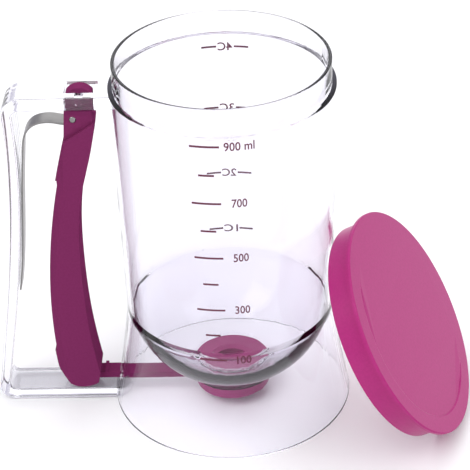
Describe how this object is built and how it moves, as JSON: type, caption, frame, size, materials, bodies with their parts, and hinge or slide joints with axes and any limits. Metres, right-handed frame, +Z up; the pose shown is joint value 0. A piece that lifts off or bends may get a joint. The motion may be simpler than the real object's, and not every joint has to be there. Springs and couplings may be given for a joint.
{
  "type": "batter dispenser",
  "caption": "Clear measuring jug with a funnel bottom on a flared skirt, a loop handle with a squeeze lever that draws a slide gate, and a loose push-on cap.",
  "frame": {"origin": "on the table, below the middle of the whole object's bounding box", "axes": "+Z up along the jug, -X towards the handle, -Y towards the printed scale"},
  "size_m": [0.2298, 0.1322, 0.181],
  "materials": {
    "clear_jug": "clear plastic",
    "clear_skirt": "clear plastic",
    "clear_handle": "clear plastic",
    "magenta_lever": "satin",
    "spring_steel": "satin",
    "pin_steel": "polished",
    "magenta_gate": "satin",
    "clear_funnel": "clear plastic",
    "magenta_valve": "satin",
    "silicone": "matte",
    "magenta_outlet_cap": "satin",
    "magenta_lid": "satin"
  },
  "bodies": {
    "jug": {"jug_wall": "clear_jug", "funnel": "clear_funnel", "skirt": "clear_skirt", "handle_loop": "clear_handle", "valve_body": "magenta_valve", "seat_washer": "silicone", "outlet_cap": "magenta_outlet_cap"},
    "lever": {"lever": "magenta_lever", "leaf_spring": "spring_steel", "spring_pin": "pin_steel"},
    "gate": {"slide_gate": "magenta_gate"},
    "cap": {"lid": "magenta_lid"}
  },
  "joints": [
    {"name": "lever_pivot", "type": "hinge", "parent": "jug", "child": "lever", "pos_m": [-0.06479, 0.00846, 0.1633], "axis": [0, 1, 0], "range_deg": [0, 7], "stiffness_Nm_per_rad": 3, "springref_deg": -2.86, "deforming": ["leaf_spring"]},
    {"name": "gate_slide", "type": "slide", "parent": "jug", "child": "gate", "axis": [-1, 0, 0], "range_m": [0, 0.0188]},
    {"name": "lid_off", "type": "slide", "parent": "jug", "child": "cap", "axis": [0.8342, -0.2049, 0.512], "range_m": [0, 0.12]}
  ],
  "couplings": [
    {"joint": "gate_slide", "follows": "lever_pivot", "m_per_rad": 0.1532}
  ]
}
